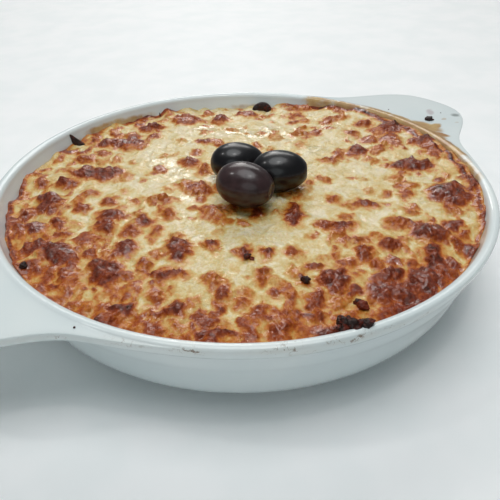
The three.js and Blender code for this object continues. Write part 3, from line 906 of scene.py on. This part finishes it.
# Colours that cheese and cream take in the oven, by tone
BAKED = (
    (0.0, (240, 224, 190)), (0.09, (228, 207, 152)), (0.18, (220, 187, 119)), (0.30, (211, 160, 88)),
    (0.44, (199, 118, 38)), (0.60, (168, 76, 14)), (0.78, (130, 46, 13)), (0.94, (92, 29, 13)),
    (1.0, (40, 20, 14)),
)
GLAZE_IOR, FOOD_IOR, SKIN_IOR = 1.5, 1.4, 1.38


def tint(red, green, blue):
    """A screen colour from 0 to 255 as the linear colour that shaders take."""
    def linear(value):
        share = value / 255
        return share / 12.92 if share <= 0.04045 else ((share + 0.055) / 1.055)**2.4
    return (linear(red), linear(green), linear(blue), 1.0)


class Nodes:
    """Adds shader nodes to a material or a group, with their values, and joins them up."""

    def __init__(self, tree):
        self.tree = tree

    def add(self, kind, settings=None, **inputs):
        node = self.tree.nodes.new("ShaderNode" + kind)
        for setting, value in (settings or {}).items():
            setattr(node, setting, value)
        for label, value in inputs.items():
            self.feed(node, label.replace("_", " "), value)
        return node

    def feed(self, node, label, value):
        socket = node.inputs[label]
        if isinstance(value, bpy.types.NodeSocket):
            self.tree.links.new(value, socket)
        else:
            socket.default_value = value

    def math(self, operation, first, second=0.0, clamp=False):
        node = self.add("Math", {"operation": operation, "use_clamp": clamp})
        self.feed(node, 0, first)
        self.feed(node, 1, second)
        return node.outputs[0]

    def spread(self, value, low, high, start=0.0, end=1.0):
        """The value taken smoothly from start, at low, to end, at high."""
        node = self.add("MapRange", {"interpolation_type": "SMOOTHSTEP"}, Value=value, From_Min=low,
                        From_Max=high, To_Min=start, To_Max=end)
        return node.outputs["Result"]

    def blend(self, share, first, second):
        node = self.add("Mix", {"data_type": "RGBA"}, Factor=share)
        self.feed(node, 6, first)
        self.feed(node, 7, second)
        return node.outputs[2]

    def ramp(self, value, stops):
        node = self.add("ValToRGB", Fac=value)
        marks = node.color_ramp.elements
        while len(marks) < len(stops):
            marks.new(0.5)
        for mark, (position, colour) in zip(marks, stops):
            mark.position, mark.color = position, colour
        return node.outputs["Color"]

    def vector(self, operation, *values):
        node = self.add("VectorMath", {"operation": operation})
        for index, value in enumerate(values):
            self.feed(node, index, value)
        return node

    def shaken(self, place, scale, reach):
        """The places shifted about by up to half the reach, so that an outline comes out ragged."""
        noise = self.add("TexNoise", Vector=place, Scale=scale, Detail=3).outputs["Color"]
        shift = self.vector("SUBTRACT", noise, (0.5, 0.5, 0.5)).outputs["Vector"]
        return self.vector("MULTIPLY_ADD", shift, (reach, reach, reach), place).outputs["Vector"]

    def spot(self, place, middle, length, width, turn, strength):
        """A flat oval spot on top of the dish: the strength inside it, and 0 outside."""
        local = self.add("Mapping", {"vector_type": "TEXTURE"}, Vector=place, Location=Vector(middle) * MM,
                         Rotation=(0, 0, math.radians(turn)),
                         Scale=Vector((length / 2, width / 2, SPOT_DEPTH)) * MM).outputs["Vector"]
        return self.spread(self.vector("LENGTH", local).outputs["Value"], 1.2, 0.4, 0.0, strength)

    def painted(self, name):
        return self.add("Attribute", {"attribute_name": name}).outputs["Fac"]

    def effect(self, group, **inputs):
        """Places a group with its own values, and gives its outputs."""
        node = self.tree.nodes.new("ShaderNodeGroup")
        node.node_tree = group
        for label, value in inputs.items():
            self.feed(node, label.replace("_", " "), value)
        return node.outputs

    def cloud(self, **inputs):
        return self.effect(CLOUDING, **inputs)["Share"]

    def clouded(self, colours, **inputs):
        """The first screen colour clouded with the second."""
        return self.blend(self.cloud(**inputs), *(tint(*colour) for colour in colours))

    def bump(self, height, strength, distance):
        return self.add("Bump", Height=height, Strength=strength, Distance=distance).outputs["Normal"]


def start_group(name, inputs, outputs):
    """A node group with number inputs and their usual values; gives its nodes, inlet and outlet."""
    tree = bpy.data.node_groups.new(name, "ShaderNodeTree")
    for label, usual in inputs.items():
        tree.interface.new_socket(label, in_out="INPUT", socket_type="NodeSocketFloat").default_value = usual
    for label, kind in outputs.items():
        tree.interface.new_socket(label, in_out="OUTPUT", socket_type="NodeSocket" + kind)
    return Nodes(tree), tree.nodes.new("NodeGroupInput").outputs, tree.nodes.new("NodeGroupOutput")


def make_clouding():
    """Cloudy variation at a scale, spread from one value to another between two levels of its noise."""
    usual = {"Scale": 100, "Detail": 3, "Low": 0.3, "High": 0.7, "Start": 0, "End": 1}
    nodes, given, outlet = start_group("clouding", usual, {"Share": "Float"})
    place = nodes.add("TexCoord").outputs["Object"]
    noise = nodes.add("TexNoise", Vector=place, Scale=given["Scale"], Detail=given["Detail"], Roughness=0.6)
    share = nodes.spread(noise.outputs["Fac"], given["Low"], given["High"], given["Start"], given["End"])
    nodes.feed(outlet, "Share", share)
    return nodes.tree


def make_oven_browning():
    """The colours that cheese and cream take in the oven, by tone, with the grain of their skin."""
    nodes, given, outlet = start_group("oven_browning", {"Tone": 0}, {"Colour": "Color", "Grain": "Float"})
    place = nodes.add("TexCoord").outputs["Object"]
    fine = nodes.add("TexNoise", Vector=place, Scale=900, Detail=3, Roughness=0.7).outputs["Fac"]
    broad = nodes.add("TexNoise", Vector=place, Scale=230, Detail=4, Roughness=0.6, Distortion=0.4)
    broad = broad.outputs["Fac"]
    bubbles = nodes.add("TexVoronoi", {"feature": "SMOOTH_F1"}, Vector=nodes.shaken(place, 500, 1.2 * MM),
                        Scale=620, Smoothness=0.4).outputs["Distance"]
    sway = nodes.math("MULTIPLY", nodes.math("SUBTRACT", fine, 0.5), 0.36)
    swing = nodes.math("MULTIPLY", nodes.math("SUBTRACT", broad, 0.5), 0.42)
    shade = nodes.math("ADD", nodes.math("ADD", given["Tone"], sway), swing, clamp=True)
    nodes.feed(outlet, "Colour", nodes.ramp(shade, [(tone, tint(*colour)) for tone, colour in BAKED]))
    blistered = nodes.math("MULTIPLY", bubbles, nodes.spread(given["Tone"], 0.2, 0.6, 0.15, 1.1))
    nodes.feed(outlet, "Grain", nodes.math("SUBTRACT", nodes.math("ADD", fine, broad), blistered))
    return nodes.tree


CLOUDING = make_clouding()
OVEN_BROWNING = make_oven_browning()


def start_material(name):
    """A new material's nodes and its shader."""
    material = bpy.data.materials.new(name)
    material.use_nodes = True
    return material, Nodes(material.node_tree), material.node_tree.nodes["Principled BSDF"]


def finish_material(material, nodes, shader, **values):
    """Feeds the shader its values and gives the material."""
    for label, value in values.items():
        nodes.feed(shader, label.replace("_", " "), value)
    return material


def glazed_porcelain():
    material, nodes, shader = start_material("glazed_porcelain")
    place = nodes.shaken(nodes.add("TexCoord").outputs["Object"], 260, 2.6 * MM)
    marked = baked_on_marks(nodes, nodes.clouded(GLAZE, Scale=18, Detail=2))
    ragged = nodes.cloud(Scale=170, Detail=4, Start=0.65, End=1.35)
    film = nodes.math("MULTIPLY", nodes.painted("film"), ragged)
    for x, y, *shape in SAUCE_RUN:
        film = nodes.math("MAXIMUM", film, nodes.spot(place, (x, y, DISH_HEIGHT), *shape))
    sauce = nodes.clouded(DRIED_SAUCE, Scale=120, Detail=4)
    colour = nodes.blend(nodes.spread(film, 0.15, 0.9, 0.0, 0.9), marked, sauce)
    for x, y, *shape, grey in SMUDGES:
        colour = nodes.blend(nodes.spot(place, (x, y, DISH_HEIGHT), *shape), colour, tint(*grey))
    gloss = nodes.cloud(Scale=60, Start=0.13, End=0.20)
    waves = nodes.bump(nodes.cloud(Scale=90, Detail=1, Low=0.0, High=1.0), 0.05, 0.001)
    return finish_material(material, nodes, shader, Base_Color=colour, Roughness=gloss, Normal=waves,
                           IOR=GLAZE_IOR)


def baked_on_marks(nodes, glaze):
    """The glaze with a faint stain and brown scribbles and specks where the dish is soiled."""
    soiling = nodes.painted("soiling")
    wander = nodes.cloud(Scale=210, Detail=4, Low=0.25, High=0.75)
    scribbles = nodes.spread(nodes.math("ABSOLUTE", nodes.math("SUBTRACT", wander, 0.5)), 0.05, 0.0)
    patches = nodes.cloud(Scale=110, Detail=3, Low=0.46, High=0.56)
    specks = nodes.cloud(Scale=420, Detail=3, Low=0.58, High=0.64)
    lines = nodes.math("MULTIPLY", nodes.math("MAXIMUM", scribbles, specks), patches)
    marks = nodes.math("MULTIPLY", lines, nodes.spread(soiling, 0.1, 0.7), clamp=True)
    stained = nodes.blend(nodes.math("MULTIPLY", soiling, 0.16), glaze, tint(*STAIN))
    return nodes.blend(nodes.math("MULTIPLY", marks, 0.85), stained, tint(*BAKED_ON))


def browned_crust():
    material, nodes, shader = start_material("browned_crust")
    tone, wet = nodes.painted("tone"), nodes.painted("wet")
    baked = nodes.effect(OVEN_BROWNING, Tone=tone)
    dry = nodes.cloud(Scale=240, Low=0.35, High=0.65, Start=0.28, End=0.46)
    gloss = nodes.math("SUBTRACT", dry, nodes.math("MULTIPLY", wet, 0.12))
    oil = nodes.cloud(Scale=130, Low=0.38, High=0.62, Start=0.15, End=0.8)
    oiled = nodes.math("MULTIPLY", oil, nodes.spread(tone, 0.1, 0.5, 0.5, 1.0))
    coat = nodes.math("ADD", oiled, nodes.math("MULTIPLY", wet, 0.5), clamp=True)
    relief = nodes.bump(baked["Grain"], 0.9, 0.0008)
    return finish_material(
        material, nodes, shader, Base_Color=baked["Colour"], Roughness=gloss, Normal=relief, IOR=FOOD_IOR,
        Specular_Tint=(1.0, 0.90, 0.76, 1.0), Coat_Weight=coat, Coat_Roughness=0.12, Subsurface_Weight=0.2,
        Subsurface_Scale=0.0012, Subsurface_Radius=(1.0, 0.5, 0.25))


def charred_crumb():
    material, nodes, shader = start_material("charred_crumb")
    baked = nodes.effect(OVEN_BROWNING, Tone=nodes.painted("tone"))
    gloss = nodes.cloud(Scale=600, Start=0.35, End=0.6)
    relief = nodes.bump(baked["Grain"], 0.8, 0.0006)
    return finish_material(material, nodes, shader, Base_Color=baked["Colour"], Roughness=gloss,
                           Normal=relief, IOR=FOOD_IOR)


def olive_skin(kind):
    material, nodes, shader = start_material("olive_skin_" + kind)
    colour = nodes.clouded(OLIVE_COLOURS[kind], Scale=120, Detail=4)
    gloss = nodes.cloud(Scale=200, Start=0.30, End=0.42)
    wrinkles = nodes.bump(nodes.cloud(Scale=300, Low=0.0, High=1.0), 0.12, 0.0006)
    return finish_material(material, nodes, shader, Base_Color=colour, Roughness=gloss, Normal=wrinkles,
                           IOR=SKIN_IOR, Coat_Weight=0.45, Coat_Roughness=0.16)


def pale_floor():
    material, nodes, shader = start_material("pale_floor")
    colour = nodes.clouded(FLOOR, Scale=30, Detail=2)
    return finish_material(material, nodes, shader, Base_Color=colour, Roughness=0.6)


# Stage

FLOOR_SIZE = 6.0  # metres
ROOM_COLOUR, ROOM_STRENGTH = (0.82, 0.96, 1.0, 1.0), 0.14
# Lights: name, place and aim in metres, width and height, power and colour
LIGHTS = (
    ("window", (0.70, 0.83, 0.98), (0, 0, 0.03), (1.4, 0.50), 7.0, (1.0, 0.99, 0.97)),
    ("low_pane", (0.68, 0.96, 0.60), (0, 0, 0.03), (0.30, 0.22), 1.3, (1.0, 0.97, 0.94)),
    ("lamp_behind", (-0.52, 0.50, 1.08), (0, 0, 0.03), (0.09, 0.09), 1.0, (1.0, 0.99, 0.97)),
    ("lamp_above", (-0.05, -0.25, 1.28), (0, 0, 0.03), (0.09, 0.09), 0.8, (1.0, 0.99, 0.97)),
    ("ceiling", (-0.05, -0.05, 1.3), (0, 0, 0), (1.0, 1.0), 8, (0.97, 0.99, 1.0)),
    ("fill", (-0.9, -1.0, 0.7), (0, 0, 0.03), (1.2, 1.0), 2.3, (0.90, 0.98, 1.0)),
)


def make_stage():
    clear_selection()
    bpy.ops.mesh.primitive_plane_add(size=FLOOR_SIZE)
    floor = name_piece("pale_floor")
    floor.data.materials.append(pale_floor())


def make_light(name, place, aim, size, power, colour):
    data = bpy.data.lights.new(name, "AREA")
    data.shape, data.energy, data.color = "ELLIPSE", power, colour
    data.size, data.size_y = size
    light = bpy.data.objects.new(name, data)
    bpy.context.scene.collection.objects.link(light)
    light.location = place
    light.rotation_euler = (Vector(aim) - Vector(place)).to_track_quat("-Z", "Y").to_euler()


def light_scene():
    world = bpy.data.worlds.new("soft_room")
    world.use_nodes = True
    backdrop = world.node_tree.nodes["Background"]
    backdrop.inputs["Color"].default_value = ROOM_COLOUR
    backdrop.inputs["Strength"].default_value = ROOM_STRENGTH
    bpy.context.scene.world = world
    for light in LIGHTS:
        make_light(*light)
    settings = bpy.context.scene.view_settings
    settings.view_transform, settings.look = "Standard", "None"


make_dish()
make_crust()
for olive_name in OLIVES:
    make_olive(olive_name)
make_scraps()
make_stage()
light_scene()
